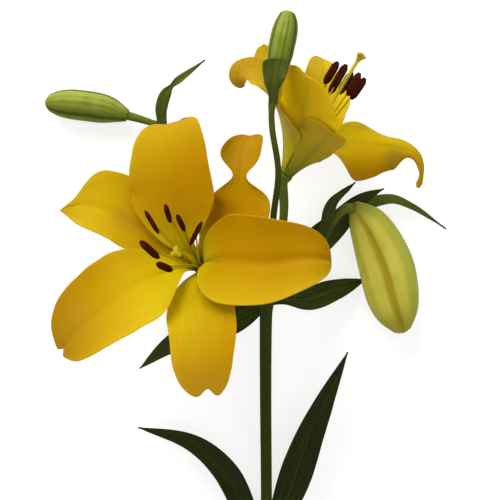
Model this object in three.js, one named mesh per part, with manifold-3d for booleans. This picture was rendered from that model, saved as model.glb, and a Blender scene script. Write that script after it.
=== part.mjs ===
// Asiatic lily: one cut stem lying on its side, with two open blooms, three buds, bracts and leaves.
// Millimetres, +Z up. The stem lies along Y with its flowers towards +Y, and the plant rests on z = 0.
// Every position below is measured from the point on the surface under the fork, where the flower
// stalks part. The finished group is moved so that its origin is under the middle of the plant's box.
import * as THREE from 'three';
import { mergeVertices } from 'three/addons/utils/BufferGeometryUtils.js';
import Module from 'manifold-3d';

// Driving dimensions
const TEPAL_THICKNESS = 0.8;
const LEAF_THICKNESS = 0.8;
const GAP = 0.3;               // between a piece and what it grows from or lies against
const INNER_ROOT = 2.4;        // radius of the ring in which the three inner tepals stand
const OUTER_ROOT = 3.5;        // and of the ring round it, for the three outer tepals
const RECEPTACLE = 4.0;        // radius of the flower's seat at the end of its stalk
const BOX_MIDDLE = [-11.4, -56, 0.1];

// Steps along and across each kind of surface
const TEPAL_STEPS = [13, 8];
const LEAF_STEPS = [10, 4];

const COLOURS = {
  petal: 0xd9ab0c,
  filament: 0xb4a52a,
  stigma: 0xa3a02c,
  bud: 0x98a244,
  stem: 0x4c5f26,
  leaf: 0x35431a,
};

// Sections of a tepal: [share of the width at the root, place of the widest point, bluntness of the
// tip, its roundness, slenderness of the claw], and the arc from midrib to edge in radians
const INNER = {
  root: INNER_ROOT,
  outline: [0.10, 0.48, 3.2, 0.62, 2.3],
  bend: [0.94, 1.0, 0.5, 0.35, 0.3, 0.3],
};
const OUTER = {
  root: OUTER_ROOT,
  outline: [0.18, 0.48, 2.6, 0.75, 1.9],
  bend: [0.86, 0.9, 0.5, 0.35, 0.3, 0.3],
};

// The blooms. A tepal leaves the flower's axis at an azimuth; lean is its angle from the axis at even
// stations along its length, swing turns it round the axis and roll turns it about its own midrib.
// wave is the height, turns and phase of its edge, and pinch a narrow waist: depth, place and spread.
// edges: shares of the width at even stations, on either side of the midrib. cut: where a blunt end
// leaves off the outline. end: how far the corners and a notch are drawn back, and the notch's place
// and width. tip: half the width of a squared end.
const BLOOMS = {
  front_bloom: {
    base: [-36.5, 15.5, 45],
    axis: [-0.27, 0.30, 0.915],
    azimuthZero: [1, 0, 0],
    tepals: {
      right: {
        ...INNER, azimuth: -20, length: 107, half: 26, crease: 1.2, wave: [1.0, 1.5, 0],
        lean: [12, 30, 68, 78, 84, 165], swing: [0, 0, 6, 19, 28], roll: [0, 2, 10, 12, 6],
        outline: [0.10, 0.46, 2.3, 0.6, 2.8], bend: [0.94, 0.95, 0.65, 0.5, 0.4, 0.3],
        edges: [[1, 1.04, 0.94, 0.93, 0.9, 0.95], [1, 1]],
      },
      top: {
        ...INNER, azimuth: 98, length: 100, half: 23.5, wave: [1.0, 1.5, 0],
        lean: [12, 28, 58, 68, 90, 175], swing: [0, -1, -3, 5, 0],
        edges: [
          [1, 1, 1, 1, 1, 1, 1, 1.07, 1.15, 0.95, 0.5],
          [1, 1, 1, 1, 1, 1.04, 1, 0.9, 0.74, 0.6, 0.5],
        ],
      },
      lower_left: {
        ...INNER, azimuth: 218, length: 105, half: 24.5, wave: [1.0, 1.5, 0],
        lean: [12, 30, 68, 84, 92, 130], swing: [0, 0, -1, -2, -2], outline: [0.10, 0.5, 3.2, 0.62, 3.0],
        edges: [[1, 1], [1, 0.85, 0.95, 0.92, 0.88, 1]], cut: 0.985, end: [0.02, 0.03, 0.1, 0.3],
      },
      far: {
        ...OUTER, azimuth: 43, length: 89, half: 21, pinch: [0.78, 0.73, 0.09],
        lean: [18, 42, 62, 68, 80, 115], swing: [0, -8, -18, 36, 34, 36],
        outline: [0.18, 0.42, 5.0, 0.5, 1.9], bend: [0.86, 0.9, 0.6, 0.3, 0.3, 0.5, 0.9, 1.3, 0.9],
        edges: [[1, 1], [1, 1, 1, 0.8, 1, 1]],
      },
      left: {
        ...OUTER, azimuth: 153, length: 90, half: 18.5, wave: [1.0, 1.5, 0],
        lean: [18, 42, 60, 72, 84, 115], swing: [0, -3, -6, 8, 44],
        outline: [0.18, 0.6, 1.3, 0.85, 1.9],
        edges: [
          [1, 1, 1, 1, 0.98, 1.1, 1.22, 1.38, 1.5, 0.5, 0.3],
          [1, 1, 1, 0.95, 0.87, 0.8, 0.75, 0.88, 1.12, 1.35, 1.35],
        ],
      },
      bottom: {
        ...OUTER, azimuth: 284, length: 92, half: 20, wave: [1.0, 1.5, 0],
        lean: [18, 44, 68, 84, 92, 112], swing: [0, 2, 0, -12, -14],
        bend: [0.86, 0.9, 0.5, 0.45, 0.45, 0.45], outline: [0.16, 0.5, 3.4, 0.6, 2.6],
        edges: [[1, 1, 0.95, 0.95, 0.97, 1], [1, 1, 1, 0.97, 0.88, 0.9]],
        cut: 0.95, end: [0.03, 0.05, 0, 0.4],
      },
    },
    // base azimuth, middle of the anther, the way it points and half its thickness
    stamens: [
      [-10, [-37.5, 34, 100], [-13, -25, -6], 1.15],
      [50, [-45.5, 39.5, 97], [6, -13, -18], 1.55],
      [110, [-52.5, 44.5, 93], [4, -15, -18], 1.6],
      [170, [-61, 40, 92], [13, -22, -4], 1.1],
      [230, [-62, 25.5, 96], [16, -15, -8], 1.7],
      [290, [-54, 16.5, 100], [13, -6, -20], 1.75],
    ],
    stigma: [-47.5, 24, 109],
  },
  side_bloom: {
    base: [11, 67.5, 43],
    axis: [0.528, 0.813, 0.245],
    azimuthZero: [-1, 0, 0],
    tepals: {
      front: {
        ...INNER, azimuth: 62, length: 74, half: 20.5,
        lean: [12, 30, 40, 40, 42, 52], swing: [0, 0, -6, -10],
        edges: [[1, 1, 1, 1, 1.15, 1.3], [1, 1]], cut: 0.98,
      },
      right: {
        ...INNER, azimuth: 184, length: 95.5, half: 21, outline: [0.10, 0.46, 1.2, 1.2, 2.6],
        lean: [12, 24, 40, 58, 61, 77, 131, 174], roll: [0, 0, 10, 48, 58, 60, 70, 80],
        bend: [0.94, 0.95, 0.3, -0.6, -0.9, -0.9, -0.6, -0.4], tip: 2, end: [0.03, 0, 0, 1],
        edges: [
          [1, 1, 0.9, 0.8, 1, 0.96, 0.97, 0.85, 0.36, 0.5, 1],
          [1, 1, 1, 1, 0.95, 0.8, 0.5, 0.58, 0.55, 0.7, 1],
        ],
      },
      back_left: {
        ...INNER, azimuth: 306, length: 82, half: 20, outline: [0.10, 0.5, 3.2, 0.62, 2.3],
        lean: [12, 30, 50, 62, 70, 80], swing: [0, 4, 10, 14, 16], roll: [0, 0, -16, -50, -62],
        edges: [[1, 1, 0.8, 0.5, 0.4, 0.35], [1, 1, 1, 1, 1.1, 1.1]], cut: 0.96, end: [0.09, 0, 0, 1],
      },
      left: {
        ...OUTER, azimuth: 5, length: 83, half: 18, outline: [0.18, 0.42, 2.8, 0.7, 1.9],
        lean: [18, 34, 46, 54, 124, 272], swing: [0, 0, -4, -4, 8], roll: [0, 0, -5, -14, -24, -34],
        edges: [[1, 1, 1, 0.7, 0.55, 0.8], [1, 1.3, 1.7, 1.45, 0.95, 1]], cut: 0.97, end: [0.02, 0, 0, 1],
      },
      near: {
        ...OUTER, azimuth: 107, length: 51, half: 13, outline: [0.26, 0.6, 5.0, 0.5, 1.9], cut: 0.98,
        lean: [18, 30, 37, 42, 47, 56], swing: [0, -8, -14, -16, -16],
        edges: [[1, 1, 1, 1, 1.1, 1.2], [1, 1, 0.85, 0.75, 0.8, 0.9]],
      },
      back: {
        ...OUTER, azimuth: 247, length: 78, half: 18, outline: [0.18, 0.5, 5.0, 0.5, 1.9],
        lean: [18, 33, 38, 42, 48, 62], swing: [0, 10, 36, 58, 68],
        edges: [[1, 0.9, 0.8, 0.75, 0.66, 0.62, 0.7, 0.87, 0.85, 0.62, 1], [1, 1, 1, 1.15, 1.35, 1.2]],
      },
    },
    stamens: [
      [10, [35, 122, 58], [-15, -25, -6], 1.9],
      [70, [39.5, 120, 63], [-14, -24, -6], 1.9],
      [130, [47, 115.5, 61], [-13, -24, -7], 1.9],
      [210, [50, 114, 51], [-15, -22, -6], 1.9],
      [265, [43.5, 117.5, 48], [-14, -24, -7], 1.9],
      [320, [38, 117.5, 49], [-14, -24, -8], 1.9],
    ],
    stigma: [50.5, 130.5, 58],
  },
};

// The main stem and the flower stalks: middle line and radius at even stations
const STEM = {
  line: [
    [0, -263, 3.6], [0, -187, 8], [0, -117, 16], [-0.5, -59.5, 24], [-0.5, -19.5, 29], [0, -1, 30],
    [0.5, 5, 31],
  ],
  radii: [3.5, 3.3, 3.1, 3.2, 3.4, 3.6, 2.6],
  sides: 12,
  steps: 14,
};
const STALKS = {
  front_bloom: {
    line: [[-0.5, -5, 29.5], [-5, 3, 33], [-17, 10, 39]],
    radii: [2.4, 2.2, 2.0, 2.2, 2.9, RECEPTACLE, RECEPTACLE],
  },
  side_bloom: {
    line: [[0, -4, 30], [5, 11.5, 33], [8, 33.5, 36], [8, 50, 38]],
    radii: [2.6, 2.5, 2.4, 2.3, 2.4, 2.9, RECEPTACLE, RECEPTACLE],
  },
  bud_top: {
    line: [
      [0, -3, 30.5], [2, 14, 37], [3.5, 43, 50], [6, 67.5, 62], [2.5, 90.5, 76], [2.5, 105, 84],
      [4.4, 117, 88.6],
    ],
    radii: [2.3, 2.1, 1.9, 1.75, 1.7, 1.8, 2.6],
  },
  bud_right: {
    line: [[1, -3.5, 30], [13, 13, 30], [29, 28, 31], [36.5, 41, 32.5], [43.5, 48, 32], [49, 51, 29.5]],
    radii: [2.6, 2.4, 2.5, 2.6, 2.8, 3.4],
  },
  bud_left: {
    line: [
      [-1, -3, 29], [-15, 18.5, 22], [-35, 62.5, 13], [-55, 93, 9.5], [-66.5, 98.5, 8.8],
      [-79, 102, 8.6],
    ],
    radii: [2.1, 1.9, 1.8, 1.8, 2.0, 2.7],
  },
};
const STALK_SIDES = 8;
const STALK_STEPS = 12;

// turn: degrees round the bud from its side to the middle of a tepal
const BUDS = {
  bud_left: {
    line: [[-79.6, 102.4, 8.6], [-92.5, 106.5, 8.6], [-109.5, 109, 8.6], [-127, 110, 8.6]],
    radius: 8.7, profile: [0.4, 0.63, 0.84, 0.97, 1, 1, 0.93, 0.7, 0.2], turn: 90,
  },
  bud_top: {
    line: [[4.8, 117.8, 89], [7, 131, 92], [9.5, 143, 93], [10.5, 151, 94]],
    radius: 7.1, profile: [0.5, 0.9, 1, 0.95, 0.7, 0.2], turn: 90,
  },
  bud_right: {
    line: [[49.6, 50.4, 28.8], [60, 36, 21.2], [68, 17, 17.3], [72.5, -3, 16.5], [78, -22, 15.6]],
    radius: 15.6, profile: [0.34, 0.62, 0.81, 0.93, 1, 1, 0.93, 0.74, 0.3], turn: -90,
  },
};
const BUD_SIDES = 18;
const BUD_STEPS = 12;

// Leaves and bracts: middle line, the way the upper face looks, half the width and the outline
const LEAVES = {
  leaf_fork_left: {
    line: [[-1, -5, 27], [-15, -13, 24], [-35, -20, 17], [-55, -29, 12], [-72.5, -42.5, 11]],
    face: [[0, 0.3, 1], [0, 0.2, 1], [0.1, 0.1, 1]], half: 9, outline: [0.35, 0.35, 1.5, 0.9, 1.15],
  },
  leaf_fork_right: {
    line: [[1, -4.5, 28], [10.5, -2, 27], [24.5, -2.5, 22], [39, 2.5, 14], [57, 8, 3]],
    face: [[0, 0.3, 1], [0, 0.2, 1], [0.1, 0.1, 1]], half: 7, outline: [0.25, 0.5, 1.8, 0.9, 1.15],
  },
  leaf_under_bud: {
    line: [[2, -2.5, 26], [22, 23, 20], [39, 39, 14], [53.5, 53.5, 10], [67.5, 60.5, 9]],
    face: [[0, 0.1, 1], [0.1, 0.2, 1], [0.2, 0.1, 1]], half: 8.5, outline: [0.25, 0.45, 1.5, 0.9, 1.15],
  },
  leaf_far_right: {
    line: [[1, -3.5, 25], [22, 18.5, 14], [45, 45, 7], [68.5, 54.5, 5], [84, 50.5, 4], [104, 37.5, 1.5]],
    face: [[0, 0.1, 1], [0.1, 0.2, 1], [0.2, 0.1, 1]], half: 6, outline: [0.25, 0.32, 1.3, 1, 1.15],
  },
  leaf_left: {
    line: [[-1, -155, 11], [-11, -126, 15], [-23.5, -100.5, 20], [-43.5, -84, 17], [-73.5, -76.5, 9]],
    face: [[0, 0.1, 1], [0.1, 0.2, 1], [0.2, 0.1, 1]], half: 7.5, outline: [0.4, 0.45, 1.4, 0.9, 1.15],
  },
  leaf_right: {
    line: [[1, -143.5, 12], [13.5, -111, 18], [23.5, -82, 23], [33, -59.5, 26], [46, -32.5, 22]],
    face: [[0, 0.1, 1], [0.1, 0.2, 1], [0.2, 0.1, 1]], half: 9.5, outline: [0.35, 0.4, 1.4, 0.9, 1.15],
  },
  leaf_lower_left: {
    line: [[-1, -196, 8], [-14, -178, 11], [-30, -158, 9], [-46, -136, 3]],
    face: [[0, 0, 1], [0.1, 0.1, 1]], half: 6.5, outline: [0.35, 0.4, 1.4, 0.9, 1.15],
  },
  leaf_lower_right: {
    line: [[1, -208, 7.5], [15, -194, 11], [34, -178, 9], [56, -166, 2.5]],
    face: [[0, 0, 1], [-0.1, 0.1, 1]], half: 6.5, outline: [0.35, 0.4, 1.4, 0.9, 1.15],
  },
  leaf_upper: {
    line: [[0, -182, 8.5], [2, -168, 16], [-3, -148, 25], [-13, -128, 31]],
    face: [[0, -1, 0.6], [0, -0.8, 0.8], [0, -0.7, 1]], half: 6, outline: [0.35, 0.4, 1.4, 0.9, 1.15],
  },
  bract_right: {
    line: [[29, 28.6, 31.5], [33, 41, 36.5], [38, 53, 37.5], [49.5, 63, 37]],
    face: [[-0.3, 0.3, 1], [-0.2, 0.4, 1]], half: 3.4, outline: [0.5, 0.5, 1.5, 0.9, 1.15],
  },
  bract_left: {
    line: [[-59.5, 95.5, 10], [-60, 107, 13], [-54, 118.5, 16], [-35, 133.5, 16]],
    face: [[0.6, 0.1, 1], [0.1, 0.2, 1], [0.2, 0.1, 1]], half: 3.6, outline: [0.8, 0.3, 1.3, 0.9, 1.15],
    pinch: [0.55, 0.52, 0.07],
  },
  bract_top: {
    line: [[3, 103, 84.5], [3, 113, 95.5], [4.5, 125, 101]],
    face: [[0, -0.3, 1], [0, 0, 1]], half: 7, outline: [0.35, 0.88, 3, 0.6, 3.2],
  },
};

// Vectors and splines
const vec = (p) => new THREE.Vector3(...p);
const radians = THREE.MathUtils.degToRad;
const clamp = THREE.MathUtils.clamp;

// A smooth curve through evenly spaced values: numbers, or points as arrays
function spline(knots, t) {
  const list = Array.isArray(knots[0]) ? knots : knots.map((k) => [k]);
  const last = list.length - 1;
  const at = clamp(t, 0, 1) * last;
  const i = Math.min(Math.floor(at), last - 1);
  const f = at - i;
  const knot = (j, c) => {
    if (j < 0) return 2 * list[0][c] - list[1][c];
    if (j > last) return 2 * list[last][c] - list[last - 1][c];
    return list[j][c];
  };
  const value = list[0].map((_, c) => {
    const start = (knot(i + 1, c) - knot(i - 1, c)) / 2;
    const end = (knot(i + 2, c) - knot(i, c)) / 2;
    return ((2 * f - 3) * f * f + 1) * knot(i, c) + ((f - 2) * f + 1) * f * start
      + (3 - 2 * f) * f * f * knot(i + 1, c) + (f - 1) * f * f * end;
  });
  return Array.isArray(knots[0]) ? vec(value) : value[0];
}

// Half width of a blade at u, as a share of its widest
function outlineAt(u, [base, widest, bluntness, roundness, slenderness]) {
  const rise = Math.sin(Math.PI / 2 * Math.min(u / widest, 1)) ** slenderness;
  const fall = (1 - clamp((u - widest) / (1 - widest), 0, 1) ** bluntness) ** roundness;
  return (base + (1 - base) * rise) * fall;
}

// One row of points across a blade: an arc that bends from the midrib to both edges, with the midrib
// pressed in as a crease and the edges waved. stationAt gives the middle line, the way across and the
// way the blade faces.
function row(u, count, stationAt, blade) {
  const { half, outline, bend, crease, wave } = blade;
  const { pinch = [0, 0, 1], edges = [[1, 1], [1, 1]], cut = 1, tip = 0.5, end = [0, 0, 0, 1] } = blade;
  const [depth, place, spread] = pinch;
  const [corners, notch, notchPlace, notchWidth] = end;
  const waist = 1 - depth * Math.exp(-(((u - place) / spread) ** 2));
  const whole = Math.max(half * waist * outlineAt(u * cut, outline), tip);
  const bent = spline(bend, u);
  const arc = Math.abs(bent) < 0.01 ? 0.01 : bent;
  const points = [];
  for (let j = 0; j <= count; j += 1) {
    const v = 2 * j / count - 1;
    const width = whole * spline(v < 0 ? edges[0] : edges[1], u);
    const lateral = width * Math.sin(arc * v) / arc;
    let rise = width * (1 - Math.cos(arc * v)) / arc;
    rise -= crease * Math.exp(-((v / 0.16) ** 2)) * Math.min(1, width / 8);
    if (wave) {
      const [height, turns, phase] = wave;
      const side = v > 0 ? 0 : 1.7;
      const fade = Math.sin(Math.PI * clamp(u * 1.2 - 0.2, 0, 1)) ** 0.7;
      rise += height * Math.sin(2 * Math.PI * (turns * u + phase) + side) * Math.abs(v) ** 2.5 * fade;
    }
    const dip = notch * Math.exp(-(((v - notchPlace) / notchWidth) ** 2));
    const back = (corners * Math.abs(v) ** 3 + dip) * u ** 6;
    const { point, across, face } = stationAt(u * (1 - back));
    points.push(point.clone().addScaledVector(across, lateral).addScaledVector(face, rise));
  }
  return points;
}

// The flower's own frame: x towards azimuth zero, z along its axis
function bloomFrame({ base, axis, azimuthZero }) {
  const z = vec(axis).normalize();
  const x = vec(azimuthZero).addScaledVector(z, -z.dot(vec(azimuthZero))).normalize();
  const y = new THREE.Vector3().crossVectors(z, x);
  return new THREE.Matrix4().makeBasis(x, y, z).setPosition(...base);
}

// Rows of a tepal's middle surface, walked out from its root in small steps
function tepalRows(tepal, frame) {
  const walk = 400;
  const [steps, across] = TEPAL_STEPS;
  const azimuth = radians(tepal.azimuth);
  const heading = (u) => {
    const lean = radians(spline(tepal.lean, u));
    const turn = azimuth + radians(spline(tepal.swing ?? [0, 0], u));
    const out = Math.sin(lean);
    return new THREE.Vector3(out * Math.cos(turn), out * Math.sin(turn), Math.cos(lean));
  };
  const root = new THREE.Vector3(Math.cos(azimuth), Math.sin(azimuth), 0).multiplyScalar(tepal.root);
  const path = [root];
  for (let i = 1; i <= walk; i += 1) {
    const step = heading((i - 0.5) / walk).multiplyScalar(tepal.length / walk);
    path.push(path[i - 1].clone().add(step));
  }
  const stationAt = (u) => {
    const at = Math.round(u * walk);
    const along = path[Math.min(at + 1, walk)].clone().sub(path[Math.max(at - 1, 0)]).normalize();
    const turn = azimuth + radians(spline(tepal.swing ?? [0, 0], u));
    const round = new THREE.Vector3(-Math.sin(turn), Math.cos(turn), 0);
    round.addScaledVector(along, -round.dot(along)).normalize();
    const inward = new THREE.Vector3().crossVectors(along, round);
    const roll = radians(spline(tepal.roll ?? [0, 0], u));
    const side = round.clone().multiplyScalar(Math.cos(roll)).addScaledVector(inward, Math.sin(roll));
    const face = inward.multiplyScalar(Math.cos(roll)).addScaledVector(round, -Math.sin(roll));
    return { point: path[at], across: side, face };
  };
  const rows = [];
  for (let i = 0; i <= steps; i += 1) {
    const points = row(i / steps, across, stationAt, { crease: 0.6, ...tepal });
    rows.push(points.map((p) => p.applyMatrix4(frame)));
  }
  return rows;
}

// Rows of a leaf's middle surface, at even steps along its curved middle line
function leafRows(leaf) {
  const curve = new THREE.CatmullRomCurve3(leaf.line.map(vec), false, 'catmullrom', 0.5);
  const [steps, across] = LEAF_STEPS;
  const stationAt = (u) => {
    const along = curve.getTangentAt(u);
    const side = new THREE.Vector3().crossVectors(along, spline(leaf.face, u)).normalize();
    return { point: curve.getPointAt(u), across: side, face: new THREE.Vector3().crossVectors(side, along) };
  };
  const blade = { crease: 0.5, bend: [0.35, 0.35], wave: [0.9, 2, 0], ...leaf };
  const rows = [];
  for (let i = 0; i <= steps; i += 1) rows.push(row(i / steps, across, stationAt, blade));
  return rows;
}

// A closed sheet of the given thickness round a middle surface, split alike on both faces
function sheet(rows, thickness) {
  const n = rows.length - 1;
  const m = rows[0].length - 1;
  const positions = [];
  for (const side of [1, -1]) {
    for (let i = 0; i <= n; i += 1) {
      for (let j = 0; j <= m; j += 1) {
        const along = rows[Math.min(i + 1, n)][j].clone().sub(rows[Math.max(i - 1, 0)][j]);
        const across = rows[i][Math.min(j + 1, m)].clone().sub(rows[i][Math.max(j - 1, 0)]);
        const normal = along.cross(across).normalize();
        const point = rows[i][j].clone().addScaledVector(normal, side * thickness / 2);
        positions.push(...point.toArray());
      }
    }
  }
  const back = (n + 1) * (m + 1);
  const at = (i, j) => i * (m + 1) + j;
  const index = [];
  for (let i = 0; i < n; i += 1) {
    for (let j = 0; j < m; j += 1) {
      const [a, b, c, d] = [at(i, j), at(i + 1, j), at(i + 1, j + 1), at(i, j + 1)];
      index.push(a, b, c, a, c, d);
      index.push(back + a, back + c, back + b, back + a, back + d, back + c);
    }
  }
  const rim = [];
  for (let i = 0; i < n; i += 1) rim.push([at(i, 0), at(i + 1, 0)]);
  for (let j = 0; j < m; j += 1) rim.push([at(n, j), at(n, j + 1)]);
  for (let i = n; i > 0; i -= 1) rim.push([at(i, m), at(i - 1, m)]);
  for (let j = m; j > 0; j -= 1) rim.push([at(0, j), at(0, j - 1)]);
  for (const [a, b] of rim) index.push(a, back + a, back + b, a, back + b, b);
  return meshOf(positions, index);
}

// A closed round body along a curve. Lobes raise its section three times round; even spacing of the
// rings, or rings that crowd towards both ends.
function roundBody({ line, radii, sides, steps, lobes = [0, 0], turn = 0, crowded = false }) {
  const knots = line.map((p) => (Array.isArray(p) ? p : p.toArray()));
  const ring = (u) => {
    const point = spline(knots, u);
    const along = spline(knots, Math.min(u + 0.001, 1)).sub(spline(knots, Math.max(u - 0.001, 0)));
    return { point, along: along.normalize() };
  };
  const chord = vec(knots[knots.length - 1]).sub(vec(knots[0])).normalize();
  const reference = Math.abs(chord.z) < 0.7 ? new THREE.Vector3(0, 0, 1) : new THREE.Vector3(1, 0, 0);
  const positions = [...knots[0]];
  for (let i = 0; i <= steps; i += 1) {
    const u = crowded ? 0.5 - 0.5 * Math.cos(Math.PI * i / steps) : i / steps;
    const { point, along } = ring(u);
    const right = new THREE.Vector3().crossVectors(along, reference).normalize();
    const up = new THREE.Vector3().crossVectors(right, along);
    const radius = spline(radii, u);
    const lobe = spline(lobes, u);
    for (let j = 0; j < sides; j += 1) {
      const angle = 2 * Math.PI * j / sides;
      const r = radius * (1 + lobe * Math.cos(3 * (angle - radians(turn))));
      const out = right.clone().multiplyScalar(Math.cos(angle)).addScaledVector(up, Math.sin(angle));
      positions.push(...point.clone().addScaledVector(out, r).toArray());
    }
  }
  positions.push(...knots[knots.length - 1]);
  const end = positions.length / 3 - 1;
  const at = (i, j) => 1 + i * sides + j % sides;
  const index = [];
  for (let j = 0; j < sides; j += 1) {
    index.push(0, at(0, j + 1), at(0, j));
    index.push(end, at(steps, j), at(steps, j + 1));
    for (let i = 0; i < steps; i += 1) {
      const [a, b, c, d] = [at(i, j), at(i, j + 1), at(i + 1, j + 1), at(i + 1, j)];
      index.push(a, b, c, a, c, d);
    }
  }
  return meshOf(positions, index);
}

function meshOf(positions, index) {
  const geometry = new THREE.BufferGeometry();
  geometry.setAttribute('position', new THREE.Float32BufferAttribute(positions, 3));
  geometry.setIndex(index);
  return geometry;
}

// Solids that can be joined and cut
const wasm = await Module();
wasm.setup();

function solid(geometry) {
  const clean = geometry.clone();
  clean.deleteAttribute('normal');
  clean.deleteAttribute('uv');
  const merged = mergeVertices(clean, 1e-4);
  const mesh = new wasm.Mesh({
    numProp: 3,
    vertProperties: new Float32Array(merged.attributes.position.array),
    triVerts: new Uint32Array(merged.index.array),
  });
  const body = new wasm.Manifold(mesh);
  return body.volume() < 0 ? solid(flipped(merged)) : body;
}

function flipped(geometry) {
  const index = Array.from(geometry.index.array);
  for (let i = 0; i < index.length; i += 3) [index[i + 1], index[i + 2]] = [index[i + 2], index[i + 1]];
  return geometry.clone().setIndex(index);
}

function geometryOf(body) {
  const mesh = body.getMesh();
  const geometry = meshOf(Array.from(mesh.vertProperties), Array.from(mesh.triVerts));
  geometry.computeVertexNormals();
  return geometry;
}

const joined = (bodies) => bodies.reduce((sum, body) => sum.add(body));

// The largest piece that is left of a body once its neighbours, grown by the gap, are taken away
function clearOf(body, neighbours) {
  let rest = body;
  for (const neighbour of neighbours) {
    if (rest.intersect(neighbour).volume() > 1e-6) rest = rest.subtract(neighbour);
  }
  const parts = rest.decompose();
  return parts.reduce((best, part) => (part.volume() > best.volume() ? part : best));
}

// Stem and stalks, with the receptacles that carry the blooms
function stalkLine(name) {
  const { line } = STALKS[name];
  if (!BLOOMS[name]) return line;
  const { base, axis } = BLOOMS[name];
  const below = (d) => vec(base).addScaledVector(vec(axis).normalize(), -d).toArray();
  return [...line, below(9), below(5), below(1.6), below(GAP + 0.05)];
}

function stemSolid(grow) {
  const parts = [roundBody({ ...STEM, radii: STEM.radii.map((r) => r + grow) })];
  for (const [name, stalk] of Object.entries(STALKS)) {
    const radii = stalk.radii.map((r) => r + grow);
    parts.push(roundBody({ line: stalkLine(name), radii, sides: STALK_SIDES, steps: STALK_STEPS }));
  }
  return joined(parts.map(solid));
}

function budSolid(bud, grow) {
  const radii = bud.profile.map((share) => bud.radius * share + grow);
  return solid(roundBody({
    line: bud.line, radii, sides: BUD_SIDES, steps: BUD_STEPS,
    lobes: [0.02, 0.07, 0.07, 0.05], turn: bud.turn, crowded: true,
  }));
}

function tepalSolid(tepal, frame, grow) {
  return solid(sheet(tepalRows({ ...tepal, half: tepal.half + grow }, frame), TEPAL_THICKNESS + 2 * grow));
}

function leafSolid(leaf, grow) {
  return solid(sheet(leafRows({ ...leaf, half: leaf.half + grow }), LEAF_THICKNESS + 2 * grow));
}

// Six filaments on one small ring round the foot of the ovary, each with its anther across its end
const ANTHER_LENGTH = 14;
const FILAMENT_CIRCLE = 1.4;
function stamensSolid({ stamens }, frame) {
  const section = [[1.05, 0], [1.75, 0], [1.75, 1], [1.05, 1], [1.05, 0]];
  const ringProfile = section.map((p) => new THREE.Vector2(...p));
  const ring = new THREE.LatheGeometry(ringProfile, 18);
  ring.rotateX(Math.PI / 2).applyMatrix4(frame);
  const parts = [ring];
  for (const [azimuth, middle, heading, half] of stamens) {
    const outward = new THREE.Vector3(Math.cos(radians(azimuth)), Math.sin(radians(azimuth)), 0);
    const at = (r, z) => outward.clone().multiplyScalar(r).setZ(z).applyMatrix4(frame);
    const anther = vec(middle);
    const direction = vec(heading).normalize();
    const upper = at(3.6, 16).lerp(anther, 0.45);
    parts.push(roundBody({
      line: [at(FILAMENT_CIRCLE, 0.4), at(2.6, 6), at(3.4, 15), upper, anther],
      radii: [0.55, 0.65, 0.65, 0.6, 0.5], sides: 5, steps: 6,
    }));
    const reach = (share, rise) => {
      const p = anther.clone().addScaledVector(direction, share * ANTHER_LENGTH);
      return p.setZ(p.z + rise);
    };
    parts.push(roundBody({
      line: [reach(-0.5, -0.8), reach(0, 0.3), reach(0.5, -0.8)],
      radii: [0.4, 0.95, 1, 0.95, 0.4].map((share) => half * share), sides: 6, steps: 4,
    }));
  }
  return joined(parts.map(solid));
}

// Ovary, style and three-lobed stigma in one
function pistilSolid({ stigma }, frame) {
  const at = (z) => new THREE.Vector3(0, 0, z).applyMatrix4(frame);
  const tip = vec(stigma);
  const bend = at(34).lerp(tip, 0.35);
  const before = bend.clone().lerp(tip, 0.9);
  const stalk = solid(roundBody({
    line: [at(GAP), at(6), at(14), at(22), bend, before, tip],
    radii: [0.7, 0.8, 1.6, 1.85, 1.8, 1.4, 0.95, 0.95, 1, 1.15, 1.6],
    lobes: [0, 0.05, 0.05, 0, 0], sides: 8, steps: 12,
  }));
  const onward = tip.clone().sub(before).normalize();
  const beyond = (d) => tip.clone().addScaledVector(onward, d);
  const head = solid(roundBody({
    line: [beyond(-2.5), beyond(0.4), beyond(2.6)],
    radii: [1.2, 1.7, 2.55, 2.8, 0.9], lobes: [0, 0.15, 0.2], sides: 12, steps: 4,
  }));
  return stalk.add(head);
}

// Assembly: stem and buds first, then inner tepals, outer tepals and leaves, each clear of those before
const materials = Object.fromEntries(Object.entries(COLOURS).map(([name, color]) => (
  [name, new THREE.MeshStandardMaterial({ name, color, roughness: 0.55, metalness: 0 })]
)));
const lily = new THREE.Group();
const grown = [];

function place(name, body, material, grownBody) {
  const mesh = new THREE.Mesh(geometryOf(clearOf(body, grown)), materials[material]);
  mesh.name = name;
  lily.add(mesh);
  if (grownBody) grown.push(grownBody);
}

place('stem', stemSolid(0), 'stem', stemSolid(GAP));
for (const [name, bud] of Object.entries(BUDS)) {
  place(name, budSolid(bud, 0), 'bud', budSolid(bud, GAP));
}
for (const [bloomName, bloom] of Object.entries(BLOOMS)) {
  const frame = bloomFrame(bloom);
  place(`${bloomName}_pistil`, pistilSolid(bloom, frame), 'stigma');
  place(`${bloomName}_stamens`, stamensSolid(bloom, frame), 'filament');
  for (const [tepalName, tepal] of Object.entries(bloom.tepals)) {
    const name = `${bloomName}_tepal_${tepalName}`;
    place(name, tepalSolid(tepal, frame, 0), 'petal', tepalSolid(tepal, frame, GAP));
  }
}
for (const [name, leaf] of Object.entries(LEAVES)) {
  place(name, leafSolid(leaf, 0), 'leaf', leafSolid(leaf, GAP));
}

lily.position.set(-BOX_MIDDLE[0], -BOX_MIDDLE[1], -BOX_MIDDLE[2]);

export default lily;
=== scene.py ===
# Looks for the asiatic lily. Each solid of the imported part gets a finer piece, built from the same
# dimensions as the solid, with veins, furrows, lobes and procedural materials.
import math

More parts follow.
